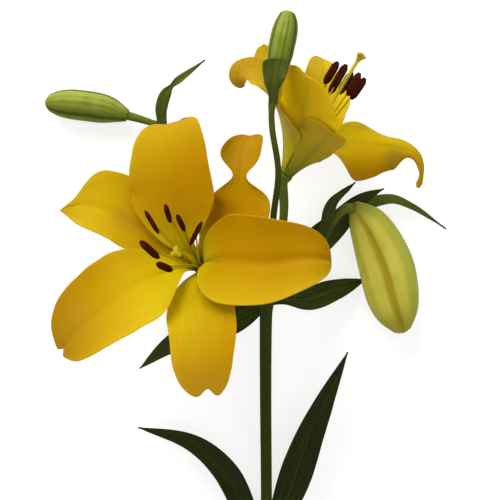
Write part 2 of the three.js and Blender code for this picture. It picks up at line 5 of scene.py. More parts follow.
import bpy
import numpy as np
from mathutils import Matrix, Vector


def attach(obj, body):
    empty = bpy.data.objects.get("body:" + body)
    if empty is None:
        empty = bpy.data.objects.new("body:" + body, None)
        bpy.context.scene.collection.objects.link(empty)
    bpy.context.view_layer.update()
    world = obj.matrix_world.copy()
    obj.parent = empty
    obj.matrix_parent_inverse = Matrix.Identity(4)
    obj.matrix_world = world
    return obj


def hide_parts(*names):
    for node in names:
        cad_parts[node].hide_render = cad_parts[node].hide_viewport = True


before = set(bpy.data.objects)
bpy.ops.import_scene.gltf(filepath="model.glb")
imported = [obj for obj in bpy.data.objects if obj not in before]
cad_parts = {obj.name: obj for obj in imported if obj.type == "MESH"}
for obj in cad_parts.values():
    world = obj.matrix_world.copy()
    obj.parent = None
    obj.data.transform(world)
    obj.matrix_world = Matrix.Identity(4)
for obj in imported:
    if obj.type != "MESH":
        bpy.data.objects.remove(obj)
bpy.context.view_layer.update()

# Driving dimensions, in millimetres, measured from the point on the surface under the fork.
# BOX_MIDDLE: where the frame has its origin. RECEPTACLE: radius of the seat that carries a flower.
# JOINT: how far a stalk runs into its bud.
MM = 0.001
BOX_MIDDLE = np.array([-11.4, -56, 0.1])
RECEPTACLE = 4.0
JOINT = 2.5
ANTHER_LENGTH = 14.0
STEM_VOXEL = 0.5
STEM_RIBS = 0.10
SEED = 11

# Steps along and round a bud, and along the middle line that a blade follows
BUD_STEPS = (110, 144)
TEPAL_WALK = 400
LEAF_WALK = 600

# THINNING: how much thinner a blade is at its margins. MIDDLE_FURROW: half width of the furrow along
# its middle, as a share of the blade's. RIPPLES: how many ripples its margins have.
THINNING = 0.7
MIDDLE_FURROW = 0.16
RIPPLES = (5, 9)

# Camera: straight above the flower, which lies on the floor as the photo's stands. FRAME_WIDTH is what
# the picture spans at the height FRAME_LEVEL.
CAMERA_POINT = (-9.35, 25.3)
CAMERA_HEIGHT = 1000.0
FRAME_WIDTH = 275.0
FRAME_LEVEL = 50.0
SENSOR = 36.0

# Floor, lights and world. Each light: its place, what it points at, its diameter and its power. These
# lengths are in metres.
FLOOR_HALF = 4.0
FLOOR_DROP = 0.0003
LIGHTS = dict(
    key=((-0.55, 1.35, 0.95), (0, 0.08, 0.05), 1.3, 36),
    fill=((0.3, -0.2, 1.6), (0, 0.05, 0.05), 1.6, 11),
)
WORLD_STRENGTH = 0.42

# Tepals and leaves. What lies along a blade is given at even stations from its root to its tip.
# half: half of its width where it is widest. azimuth: degrees round the flower's axis. root: where it
# starts, off that axis. lean, swing, roll: degrees that it leans from the axis, turns round it and
# rolls about its midrib. bend: the arc from midrib to margin, in radians.
# outline: share of the width at the root, place of the widest point, bluntness of the tip, its
# roundness, slenderness of the claw. edges: the share of that width on the one side and on the other.
# pinch: depth, place and reach of a waist. cut: share of the outline that is used, for a blunter tip.
# tip: half width of a blunt end. end: how far the tip's sides draw back, and its notch's depth, place
# and width. crease: depth of the furrow along the middle. wave: height, turns and start of the
# margins' wave. ripple, swell: height of their ripples and of the face's unevenness.
# tone: amber on the face, partly the tepal's own deeper colour and partly painted shade, which its rise
# across lays on one half: its level, how it rises across, its place along the tepal and its reach.
# painted shading: a patch of painted shade: how dark, or below 0 how sunlit as painted sunlight, its
# place along and across and its reach.
# rear: how much of the face's colour the back has. steps: along and across. crowding: the power that
# draws the steps towards the tip. facing: -1 where along, across and face are left-handed, or 1.
BLADE = dict(
    swing=(0, 0), roll=(0, 0), edges=((1, 1), (1, 1)), pinch=(0, 0, 1), cut=1, tip=0.5,
    end=(0, 0, 0, 1), wave=(0, 1, 0), tone=(0, 0, 0.5, 1), painted_shading=(0, 0, 0, 1, 1), rear=0,
)
TEPAL = dict(
    BLADE, thickness=0.72, steps=(110, 56), crowding=0.94, facing=1, crease=0.6, ripple=1.6, swell=0.35,
    tone=(0.4, 0, 0.5, 0.4),
)
LEAF = dict(
    BLADE, thickness=0.76, steps=(80, 28), crowding=1, facing=-1, crease=0.5, ripple=0.8, swell=0.2,
    outline=(0.35, 0.4, 1.4, 0.9, 1.15), bend=(0.35, 0.35), wave=(0.9, 2, 0), skin="deep_leaf_skin",
    face=((0, 0.1, 1), (0.1, 0.2, 1), (0.2, 0.1, 1)),
)
INNER = dict(
    TEPAL, root=2.4, outline=(0.1, 0.48, 3.2, 0.62, 2.3), bend=(0.94, 1, 0.5, 0.35, 0.3, 0.3),
    skin="inner_tepal",
)
OUTER = dict(
    TEPAL, root=3.5, outline=(0.18, 0.48, 2.6, 0.75, 1.9), bend=(0.86, 0.9, 0.5, 0.35, 0.3, 0.3),
    skin="outer_tepal",
)
WAVE = (1, 1.5, 0)
FRONT_TEPALS = dict(
    right=dict(
        INNER, azimuth=-20, length=107, half=26, crease=1.2, wave=WAVE,
        lean=(12, 30, 68, 78, 84, 165), swing=(0, 0, 6, 19, 28), roll=(0, 2, 10, 12, 6),
        outline=(0.1, 0.46, 2.3, 0.6, 2.8), bend=(0.94, 0.95, 0.65, 0.5, 0.4, 0.3),
        edges=((0.3, 0.35, 0.65, 0.9, 0.96, 0.95, 0.93, 0.92, 0.9, 0.92, 0.95), (1, 1)),
        tone=(0.95, 0.6, 0.6, 1),
    ),
    top=dict(
        INNER, azimuth=98, length=100, half=23.5, wave=WAVE,
        lean=(12, 28, 58, 69, 93, 178), swing=(0, -1, -3, 3, -8),
        edges=(
            (1, 0.95, 0.45, 0.85, 1, 1, 1, 1.04, 1.1, 1.2, 1.3),
            (1, 1, 1, 1, 1, 1.03, 0.99, 0.91, 0.78, 0.68, 0.7),
        ),
        cut=0.97, end=(0.05, 0.03, 0.3, 1.2), tone=(1, -0.2, 0.5, 0.33),
    ),
    lower_left=dict(
        INNER, azimuth=218, length=105, half=24.5, wave=WAVE,
        lean=(12, 30, 68, 84, 92, 130), swing=(0, 0, -1, -2, -2),
        outline=(0.1, 0.5, 3.2, 0.62, 3), cut=0.985, end=(0.02, 0.03, 0.1, 0.3),
        edges=((1, 1), (1, 0.96, 1.06, 0.93, 0.88, 1)),
        tone=(0.85, -0.35, 1, 0.5), painted_shading=(0.45, 1, -0.3, 0.25, 0.9),
    ),
    far=dict(
        OUTER, azimuth=43, length=89, half=21, pinch=(0.78, 0.73, 0.09),
        lean=(18, 42, 62, 68, 80, 115), swing=(0, -8, -18, 36, 34, 36),
        outline=(0.18, 0.42, 5, 0.5, 1.9), bend=(0.86, 0.9, 0.6, 0.3, 0.3, 0.5, 0.9, 1.3, 0.9),
        edges=((1, 1), (1, 0.8, 0.6, 0.9, 1, 0.9, 0.8, 0.88, 0.95, 0.74, 0.6)),
        tone=(1, 0.1, 0.5, 2), painted_shading=(0.4, 0.95, 0.3, 0.25, 0.9),
    ),
    left=dict(
        OUTER, azimuth=153, length=90, half=18.5, wave=WAVE,
        lean=(18, 42, 60, 72, 84, 115), swing=(0, -3, -6, 8, 44),
        outline=(0.18, 0.6, 1.3, 0.85, 1.9),
        edges=(
            (1, 1, 1, 1, 0.98, 1.1, 1.22, 1.38, 1.5, 0.5, 0.3),
            (1, 1, 1, 0.95, 0.87, 0.8, 0.75, 0.88, 1.12, 1.35, 1.35),
        ),
        tone=(0.75, -0.2, 0.42, 0.3), painted_shading=(0.5, 0.55, 0.05, 0.09, 0.3),
    ),
    bottom=dict(
        OUTER, azimuth=284, length=92, half=20, wave=WAVE,
        lean=(18, 44, 68, 84, 92, 112), swing=(0, 2, 0, -12, -14),
        bend=(0.8, 0.65, 0.45, 0.45, 0.45, 0.45), outline=(0.16, 0.5, 3.4, 0.6, 2.6),
        edges=((1, 1.2, 1.03, 0.95, 0.97, 1), (1, 1, 1, 0.97, 0.88, 0.9)),
        cut=0.95, end=(0.03, 0.05, 0, 0.4),
        tone=(0.95, 0.3, 1, 0.42), painted_shading=(0.5, 1, 0.1, 0.18, 1.2),
    ),
)
SIDE_TEPALS = dict(
    front=dict(
        INNER, azimuth=62, length=74, half=20.5,
        lean=(12, 30, 40, 40, 42, 52), swing=(0, 0, -6, -10),
        edges=((1, 1, 1, 1, 1.15, 1.3), (1, 1)), cut=0.98,
        painted_shading=(0.2, 0.6, 0, 0.4, 0.7),
    ),
    right=dict(
        INNER, azimuth=184, length=95.5, half=21, outline=(0.1, 0.46, 1.2, 1.2, 2.6),
        lean=(12, 24, 40, 58, 61, 77, 131, 174), roll=(0, 0, 10, 48, 58, 60, 70, 80),
        bend=(0.94, 0.95, 0.3, -0.6, -0.9, -0.9, -0.6, -0.4), tip=2, end=(0.03, 0, 0, 1),
        edges=(
            (
                1, 1, 1, 0.9, 0.7, 0.42, 0.62, 1.1, 1.02, 0.94, 0.96, 0.98, 0.97, 0.98, 1, 0.5,
                0.35, 0.4, 0.5, 0.7, 1,
            ),
            (1, 1, 1, 1, 0.95, 0.8, 0.5, 0.58, 0.55, 0.7, 1),
        ),
        tone=(0.3, -0.9, 0.45, 0.6), painted_shading=(0.85, 0.67, -0.6, 0.06, 0.6),
    ),
    back_left=dict(
        INNER, azimuth=306, length=82, half=20, outline=(0.1, 0.5, 3.2, 0.62, 2.3),
        lean=(12, 30, 50, 62, 70, 80), swing=(0, 4, 10, 14, 16), roll=(0, 0, -16, -50, -62),
        edges=((1, 1, 0.8, 0.5, 0.4, 0.35), (1, 1, 1, 1, 1.1, 1.1)), cut=0.96, end=(0.09, 0, 0, 1),
    ),
    left=dict(
        OUTER, azimuth=5, length=83, half=18, outline=(0.18, 0.42, 2.8, 0.7, 1.9),
        lean=(18, 34, 46, 54, 124, 272), swing=(0, 0, -4, -4, 8), roll=(0, 0, -5, -14, -24, -34),
        edges=((1, 1, 1, 0.7, 0.55, 0.8), (1, 1.3, 1.7, 1.45, 0.95, 1)),
        cut=0.97, end=(0.02, 0, 0, 1),
        tone=(0.7, 0, 0.9, 0.22), painted_shading=(0.6, 1, 0, 0.26, 1.5), rear=0.6,
    ),
    near=dict(
        OUTER, azimuth=107, length=51, half=13, outline=(0.26, 0.6, 5, 0.5, 1.9), cut=0.98,
        edges=((1, 1, 1, 1, 1.1, 1.2), (1, 1, 0.85, 0.75, 0.8, 0.9)),
        lean=(18, 30, 37, 42, 47, 56), swing=(0, -8, -14, -16, -16),
    ),
    back=dict(
        OUTER, azimuth=247, length=78, half=18, outline=(0.18, 0.5, 5, 0.5, 1.9),
        lean=(18, 33, 38, 42, 48, 62), swing=(0, 10, 36, 58, 68),
        edges=(
            (1, 0.9, 0.8, 0.75, 0.66, 0.62, 0.7, 0.87, 0.85, 0.62, 1),
            (1, 1, 1, 1.15, 1.35, 1.2),
        ),
        tone=(0, 0, 0.5, 0.4), painted_shading=(-0.55, 0.95, 0, 0.36, 1.5), rear=1.0,
    ),
)

# Blooms: where a flower begins, the way that it faces and where its azimuths count from. Of each
# stamen: azimuth, the anther's middle, the way that it points and half its width.
BLOOMS = dict(
    front_bloom=dict(
        base=(-36.5, 15.5, 45), axis=(-0.27, 0.3, 0.915), azimuth_zero=(1, 0, 0), tepals=FRONT_TEPALS,
        stamens=(
            (-10, (-37.5, 34, 100), (-13, -25, -6), 1.15),
            (50, (-45.5, 39.5, 97), (6, -13, -18), 1.55),
            (110, (-52.5, 44.5, 93), (4, -15, -18), 1.6),
            (170, (-61, 40, 92), (13, -22, -4), 1.1),
            (230, (-62, 25.5, 96), (16, -15, -8), 1.7),
            (290, (-54, 16.5, 100), (13, -6, -20), 1.75),
        ),
        stigma=(-47.5, 24, 109),
    ),
    side_bloom=dict(
        base=(11, 67.5, 43), axis=(0.528, 0.813, 0.245), azimuth_zero=(-1, 0, 0), tepals=SIDE_TEPALS,
        stamens=(
            (10, (35, 122, 58), (-15, -25, -6), 1.9),
            (70, (39.5, 120, 63), (-14, -24, -6), 1.9),
            (130, (47, 115.5, 61), (-13, -24, -7), 1.9),
            (210, (50, 114, 51), (-15, -22, -6), 1.9),
            (265, (43.5, 117.5, 48), (-14, -24, -7), 1.9),
            (320, (38, 117.5, 49), (-14, -24, -8), 1.9),
        ),
        stigma=(50.5, 130.5, 58),
    ),
)

# The stem and the flower stalks: middle line and radius at even stations. seat: distances behind a
# bloom at which its stalk follows the bloom's axis. tone: 1, or 2 for a paler stalk.
STEM = dict(
    line=(
        (0, -263, 3.6), (0, -187, 8), (0, -117, 16), (-0.5, -59.5, 24), (-0.5, -19.5, 29), (0, -1, 30),
        (0.5, 5, 31),
    ),
    radii=(3.5, 3.3, 3.1, 3.2, 3.4, 3.6, 2.6),
)
STALKS = dict(
    front_bloom=dict(
        line=((-0.5, -5, 29.5), (-5, 3, 33), (-17, 10, 39)), seat=(9, 5, 1.6, 0.35),
        radii=(2.4, 2.2, 2, 2.2, 2.9, RECEPTACLE, RECEPTACLE),
    ),
    side_bloom=dict(
        line=((0, -4, 30), (5, 11.5, 33), (8, 31, 36), (9.6, 49, 38)), seat=(4.6, 1.6, 0.35), tone=2.0,
        radii=(2.6, 2.5, 2.4, 2.4, 2.7, 3.3, RECEPTACLE, RECEPTACLE),
    ),
    bud_top=dict(
        line=(
            (0, -3, 30.5), (2, 14, 37), (3.5, 43, 50), (6, 67.5, 62), (2.5, 90.5, 76), (2.5, 105, 84),
            (4.4, 117, 88.6),
        ),
        radii=(2.3, 2.1, 1.9, 1.75, 1.7, 1.8, 2.6),
    ),
    bud_right=dict(
        line=(
            (1, -3.5, 30), (13, 13, 30), (29, 28, 31), (36.5, 41, 32.5), (43.5, 48, 32), (49, 51, 29.5),
        ),
        radii=(2.6, 2.4, 2.5, 2.6, 2.8, 3.4),
    ),
    bud_left=dict(
        line=(
            (-1, -3, 29), (-15, 18.5, 22), (-35, 62.5, 13), (-55, 93, 9.5), (-66.5, 98.5, 8.8),
            (-79, 102, 8.6),
        ),
        radii=(2.1, 1.9, 1.8, 1.8, 2, 2.7),
    ),
)

# Buds: middle line and shares of the radius at even stations. turn: degrees round the bud from its
# side to the middle of a tepal, at its base and its tip. cap: share of the length that rounds off.
BUDS = dict(
    bud_left=dict(
        line=((-79.6, 102.4, 8.6), (-92.5, 106.5, 8.6), (-109.5, 109, 8.6), (-127, 110, 8.6)),
        radius=8.7, profile=(0.4, 0.63, 0.84, 0.97, 1, 1, 0.96, 0.79, 0.4), turn=(78, 78), cap=0.06,
    ),
    bud_top=dict(
        line=((4.8, 117.8, 89), (7, 131, 92), (9.5, 143, 93), (10.5, 151, 94)),
        radius=6.95, profile=(0.5, 0.92, 1, 0.97, 0.78, 0.46), turn=(90, 90), cap=0.08,
    ),
    bud_right=dict(
        line=((49.6, 50.4, 28.8), (60, 36, 21.2), (68, 17, 17.3), (72.5, -3, 16.5), (78, -22, 15.6)),
        radius=15.6, profile=(0.22, 0.62, 0.81, 0.93, 1, 1, 0.93, 0.72, 0.24), turn=(-110, -90),
        cap=0.03,
    ),
)

# Leaves and bracts: middle line, the way the upper face looks, and half width and outline as a
# tepal's. RISING: the way that the leaves at the fork look.
RISING = ((0, 0.3, 1), (0, 0.2, 1), (0.1, 0.1, 1))
LEAVES = dict(
    leaf_fork_left=dict(
        line=((-1, -5, 27), (-15, -13, 24), (-35, -20, 17), (-55, -29, 12), (-72.5, -42.5, 11)),
        face=RISING, half=9, outline=(0.35, 0.35, 1.5, 0.9, 1.15), skin="leaf_skin",
    ),
    leaf_fork_right=dict(
        line=((1, -4.5, 28), (10.5, -2, 27), (24.5, -2.5, 22), (39, 2.5, 14), (57, 8, 3)),
        face=RISING, half=7, outline=(0.25, 0.5, 1.8, 0.9, 1.15), skin="leaf_skin",
    ),
    leaf_under_bud=dict(
        line=((2, -2.5, 26), (22, 23, 20), (39, 39, 14), (53.5, 53.5, 10), (67.5, 60.5, 9)),
        half=8.5, outline=(0.25, 0.45, 1.5, 0.9, 1.15), skin="leaf_skin",
    ),
    leaf_far_right=dict(
        line=(
            (1, -3.5, 25), (22, 18.5, 14), (45, 45, 7), (68.5, 54.5, 5), (84, 50.5, 4), (104, 37.5, 1.5),
        ),
        half=6, outline=(0.25, 0.32, 1.3, 1, 1.15), skin="pale_leaf_skin",
    ),
    leaf_left=dict(
        line=((-1, -155, 11), (-11, -126, 15), (-23.5, -100.5, 20), (-43.5, -84, 17), (-73.5, -76.5, 9)),
        half=7.5, outline=(0.4, 0.45, 1.4, 0.9, 1.15),
    ),
    leaf_right=dict(
        line=((1, -143.5, 12), (13.5, -111, 18), (23.5, -82, 23), (33, -59.5, 26), (46, -32.5, 22)),
        half=9.5,
    ),
    leaf_lower_left=dict(
        line=((-1, -196, 8), (-14, -178, 11), (-30, -158, 9), (-46, -136, 3)),
        face=((0, 0, 1), (0.1, 0.1, 1)), half=6.5,
    ),
    leaf_lower_right=dict(
        line=((1, -208, 7.5), (15, -194, 11), (34, -178, 9), (56, -166, 2.5)),
        face=((0, 0, 1), (-0.1, 0.1, 1)), half=6.5,
    ),
    leaf_upper=dict(
        line=((0, -182, 8.5), (2, -168, 16), (-3, -148, 25), (-13, -128, 31)),
        face=((0, -1, 0.6), (0, -0.8, 0.8), (0, -0.7, 1)), half=6,
    ),
    bract_right=dict(
        line=((29, 28.6, 31.5), (33, 41, 36.5), (38, 53, 37.5), (49.5, 63, 37)),
        face=((-0.3, 0.3, 1), (-0.2, 0.4, 1)), half=3.4, outline=(0.5, 0.5, 1.5, 0.9, 1.15),
        skin="leaf_skin",
    ),
    bract_left=dict(
        line=((-59.5, 95.5, 10), (-60, 107, 13), (-54, 118.5, 16), (-35, 133.5, 16)),
        face=((0.6, 0.1, 1), (0.1, 0.2, 1), (0.2, 0.1, 1)), half=3.6, outline=(0.8, 0.3, 1.3, 0.9, 1.15),
        pinch=(0.55, 0.52, 0.07), skin="pale_leaf_skin",
    ),
    bract_top=dict(
        line=((3, 103, 84.5), (3, 113, 95.5), (4.5, 125, 101)),
        face=((0, -0.3, 1), (0, 0, 1)), half=7, outline=(0.35, 0.88, 3, 0.6, 3.2), skin="pale_leaf_skin",
    ),
)

# Colours, as linear red, green and blue. A tepal's go from its root to its tip, on its face and on the
# backs, and PETAL holds what is laid over them: its shade and sunlit are painted shade and painted
# sunlight, its amber is partly painted shade, and its margin is partly a painted highlight.
# The face's bright yellow from 0.08 to 0.2 along is partly painted light, which lifts the shade deep in
# the throat.
INSIDE = (
    (0, (0.2, 0.2, 0.003)), (0.08, (0.6, 0.49, 0.002)), (0.2, (0.6, 0.47, 0.001)),
    (0.34, (0.47, 0.35, 0.001)), (0.5, (0.475, 0.345, 0.001)), (0.75, (0.43, 0.298, 0.002)),
    (1, (0.315, 0.205, 0.003)),
)
# The inner tepals' backs are brighter than their own colour: partly painted light, which lifts the shade
# on the side bloom's front tepal.
INNER_BACK = (
    (0, (0.12, 0.16, 0.008)), (0.2, (0.56, 0.47, 0.01)), (0.45, (0.78, 0.56, 0.006)),
    (1, (0.66, 0.41, 0.004)),
)
OUTER_BACK = (
    (0, (0.08, 0.11, 0.01)), (0.3, (0.29, 0.25, 0.008)), (0.7, (0.42, 0.29, 0.014)),
    (1, (0.44, 0.29, 0.012)),
)
PETAL = dict(
    margin=(0.5, 0.37, 0.014), blush=(0.4, 0.235, 0.001), amber=(0.345, 0.17, 0),
    throat=(0.09, 0.1, 0.002), keel=(0.13, 0.15, 0.02), vein=(0.34, 0.18, 0.001),
    shade=(0.27, 0.165, 0.008), sunlit=(0.95, 0.66, 0.01),
)

# Buds. shade, flank: painted shade on one flank, where it begins and is full across the bud, and its
# share; on bud_right it is a darker, greener flank.
# furrows: how much of the seam's colour the furrows have. foot: how far up the green of BUD_FOOT goes.
BUD_FOOT = (0.1, 0.14, 0.02)
BUD_SKINS = dict(
    bud_left=dict(
        pale=(0.29, 0.32, 0.05), green=(0.12, 0.145, 0.01), seam=(0.045, 0.06, 0.003),
        tip=(0.2, 0.22, 0.012), shade=(0.085, 0.105, 0.007), flank=(0.35, -0.5, 0.6),
        furrows=0.28, foot=0.16, seed=2,
    ),
    bud_top=dict(
        pale=(0.24, 0.275, 0.045), green=(0.13, 0.165, 0.01), seam=(0.05, 0.065, 0.003),
        tip=(0.21, 0.24, 0.03), shade=(0.08, 0.1, 0.006), flank=(0.25, 0.85, 0.5),
        furrows=0.4, foot=0.6, seed=5,
    ),
    bud_right=dict(
        pale=(0.48, 0.425, 0.065), green=(0.36, 0.33, 0.028), seam=(0.25, 0.18, 0.003),
        tip=(0.25, 0.19, 0.005), shade=(0.25, 0.3, 0.03), flank=(-0.3, -0.8, 0.6),
        furrows=0.2, foot=0.16, seed=9,
    ),
)
LEAF_SKINS = dict(
    deep_leaf_skin=dict(dark=(0.008, 0.0125, 0.002), light=(0.023, 0.032, 0.004), seed=3),
    leaf_skin=dict(dark=(0.014, 0.02, 0.003), light=(0.039, 0.051, 0.007), seed=5),
    pale_leaf_skin=dict(dark=(0.05, 0.068, 0.008), light=(0.085, 0.105, 0.012), seed=8),
)


# Curves and vectors, on arrays
def unit(vectors):
    """Vectors of length one."""
    vectors = np.asarray(vectors, float)
    return vectors / np.maximum(np.linalg.norm(vectors, axis=-1, keepdims=True), 1e-9)


def spline(knots, t):
    """A smooth curve through evenly spaced values, numbers or points, at each t from 0 to 1."""
    knots = np.asarray(knots, float)
    flat = knots.ndim == 1
    if flat:
        knots = knots[:, None]
    t = np.asarray(t, float)
    last = len(knots) - 1
    at = np.clip(t, 0, 1) * last
    i = np.minimum(at.astype(int), last - 1)
    f = (at - i)[..., None]
    padded = np.vstack([2 * knots[0] - knots[1], knots, 2 * knots[-1] - knots[-2]])
    p0, p1, p2, p3 = (padded[i + k] for k in range(4))
    start = (p2 - p0) / 2
    end = (p3 - p1) / 2
    value = (
        ((2 * f - 3) * f * f + 1) * p1
        + ((f - 2) * f + 1) * f * start
        + (3 - 2 * f) * f * f * p2
        + (f - 1) * f * f * end
    )
    return value[..., 0] if flat else value


def bump(x, width):
    """A bell curve that is 1 at 0."""
    return np.exp(-((x / width) ** 2))


def blade_outline(u, shape):
    """Half width of a blade at u, as a share of its widest."""
    base, widest, bluntness, roundness, slenderness = shape
    rise = np.sin(np.pi / 2 * np.minimum(u / widest, 1)) ** slenderness
    fall = (1 - np.clip((u - widest) / (1 - widest), 0, 1) ** bluntness) ** roundness
    return (base + (1 - base) * rise) * fall


def along_table(table, at):
    """Rows of a table of vectors, read between its lines."""
    i = np.clip(at.astype(int), 0, len(table) - 2)
    f = (at - i)[..., None]
    return table[i] * (1 - f) + table[i + 1] * f


# Blades: tepals and leaves
def blade_grid(lines, u, v, blade, rng):
    """Middle surface of a blade over grids u and v. lines holds its middle line, the way across and
    the way it faces, in even steps."""
    points, across, face = lines
    steps = len(points) - 1
    depth, place, spread = blade["pinch"]
    waist = 1 - depth * bump(u - place, spread)
    shape = blade_outline(u * blade["cut"], blade["outline"])
    width = np.maximum(blade["half"] * waist * shape, blade["tip"])
    left, right = blade["edges"]
    width = width * np.where(v < 0, spline(left, u), spline(right, u))
    arc = spline(blade["bend"], u)
    arc = np.where(np.abs(arc) < 0.01, 0.01, arc)
    lateral = width * np.sin(arc * v) / arc
    rise = width * (1 - np.cos(arc * v)) / arc
    rise -= blade["crease"] * bump(v, MIDDLE_FURROW) * np.minimum(1, width / 8)
    fade = np.sin(np.pi * np.clip(u * 1.2 - 0.2, 0, 1)) ** 0.7
    height, turns, phase = blade["wave"]
    side = np.where(v > 0, 0, 1.7)
    rise += height * np.sin(2 * np.pi * (turns * u + phase) + side) * np.abs(v) ** 2.5 * fade
    for turns in RIPPLES:
        phase = rng.uniform(0, 2 * np.pi, 2)
        ripple = np.sin(2 * np.pi * turns * u + np.where(v > 0, *phase))
        rise += blade["ripple"] / turns * ripple * np.abs(v) ** 4 * fade
    swell = np.sin(3.1 * u * np.pi + rng.uniform(0, 6)) * np.sin(2.3 * v + rng.uniform(0, 6))
    rise += blade["swell"] * swell * fade
    sides, notch, middle, notch_width = blade["end"]
    draw_back = sides * np.abs(v) ** 3 + notch * bump(v - middle, notch_width)
    at = u * (1 - draw_back * u ** 6) * steps
    sideways = along_table(across, at) * lateral[..., None]
    return along_table(points, at) + sideways + along_table(face, at) * rise[..., None]


def blade_tones(u, v, blade):
    """How amber a tepal's face is, how much painted shade it has, which below 0 is painted sunlight, and
    how much its back has of the face's colour.
    """
    level, slope, middle_u, spread_u = blade["tone"]
    # The amber's rise across the tepal paints shade on one half.
    amber = level + slope * v - 0.9 * (1 - bump(u - middle_u, spread_u))
    strength, at_u, at_v, reach_u, reach_v = blade["painted_shading"]
    painted_shading = strength * np.exp(-(((u - at_u) / reach_u) ** 4) - ((v - at_v) / reach_v) ** 4)
    rear = np.full(u.shape, float(blade["rear"]))
    return np.stack([np.clip(amber, 0, 1), painted_shading, rear], -1)


def bloom_axes(bloom):
    """The flower's own directions: x towards azimuth zero, z along its axis."""
    z = unit(bloom["axis"])
    zero = np.array(bloom["azimuth_zero"], float)
    x = unit(zero - z * (z @ zero))
    return np.stack([x, np.cross(z, x), z])


def tepal_lines(tepal, bloom):
    """Middle line of a tepal, the way across and the way it faces, walked out from its root."""
    azimuth = math.radians(tepal["azimuth"])
    middle = (np.arange(TEPAL_WALK) + 0.5) / TEPAL_WALK
    station = np.arange(TEPAL_WALK + 1) / TEPAL_WALK

    def turned(key, u):
        return np.radians(spline(tepal[key], u))

    def heading(u):
        lean = turned("lean", u)
        turn = azimuth + turned("swing", u)
        return np.stack([np.sin(lean) * np.cos(turn), np.sin(lean) * np.sin(turn), np.cos(lean)], -1)

    root = tepal["root"] * np.array([math.cos(azimuth), math.sin(azimuth), 0])
    walked = np.cumsum(heading(middle), axis=0) * tepal["length"] / TEPAL_WALK
    path = root + np.vstack([np.zeros(3), walked])
    along = heading(station)
    turn = azimuth + turned("swing", station)
    around = np.stack([-np.sin(turn), np.cos(turn), 0 * turn], -1)
    around = unit(around - along * np.sum(around * along, -1, keepdims=True))
    inward = np.cross(along, around)
    roll = turned("roll", station)[:, None]
    side = around * np.cos(roll) + inward * np.sin(roll)
    face = inward * np.cos(roll) - around * np.sin(roll)
    axes = bloom_axes(bloom)
    return path @ axes + np.array(bloom["base"], float), side @ axes, face @ axes


def leaf_lines(leaf):
    """Middle line of a leaf, walked in even steps of its length, the way across and the way it faces."""
    station = np.linspace(0, 1, LEAF_WALK + 1)
    raw = spline(leaf["line"], station)
    length = np.concatenate([[0], np.cumsum(np.linalg.norm(np.diff(raw, axis=0), axis=1))])
    even = station * length[-1]
    points = np.stack([np.interp(even, length, raw[:, k]) for k in range(3)], -1)
    along = unit(np.gradient(points, axis=0))
    side = unit(np.cross(along, spline(leaf["face"], station)))
    return points, side, np.cross(side, along)


def make_blade(name, blade, lines, rng):
    """A closed sheet round a middle surface. It thins towards its edges. Each point keeps its place on
    the blade and which face it is on in the attribute blade, and its tones in the attribute tone."""
    along, across = blade["steps"]
    u = np.linspace(0, 1, along + 1) ** blade["crowding"]
    u, v = np.meshgrid(u, np.linspace(-1, 1, across + 1), indexing="ij")
    middle = blade_grid(lines, u, v, blade, rng)
    normal = unit(np.cross(np.gradient(middle, axis=0), np.gradient(middle, axis=1))) * blade["facing"]
    half = blade["thickness"] / 2 * (1 - THINNING * np.abs(v) ** 7) * (1 - THINNING * u ** 12)
    faces_out = [middle + normal * half[..., None], middle - normal * half[..., None]]
    n, m = u.shape
    order = np.arange(n * m).reshape(n, m)
    a, b, c, d = order[:-1, :-1], order[1:, :-1], order[1:, 1:], order[:-1, 1:]
    upper = np.stack([a, b, c, d], -1).reshape(-1, 4)
    lower = np.stack([d, c, b, a], -1).reshape(-1, 4) + n * m
    rim = np.concatenate([order[:-1, 0], order[-1, :-1], order[:0:-1, -1], order[0, :0:-1]])
    onward = np.roll(rim, -1)
    edge = np.stack([rim, rim + n * m, onward + n * m, onward], -1)
    faces = np.vstack([upper, lower, edge])[:, ::blade["facing"]].tolist()
    side = np.concatenate([np.ones(n * m), -np.ones(n * m)])
    place = np.stack([np.tile(u.ravel(), 2), np.tile(v.ravel(), 2), side], -1)
    tones = blade_tones(u, v, blade).reshape(-1, 3)
    attributes = {"blade": place, "tone": np.tile(tones, (2, 1))}
    return piece_from(name, np.vstack([f.reshape(-1, 3) for f in faces_out]), faces, attributes)


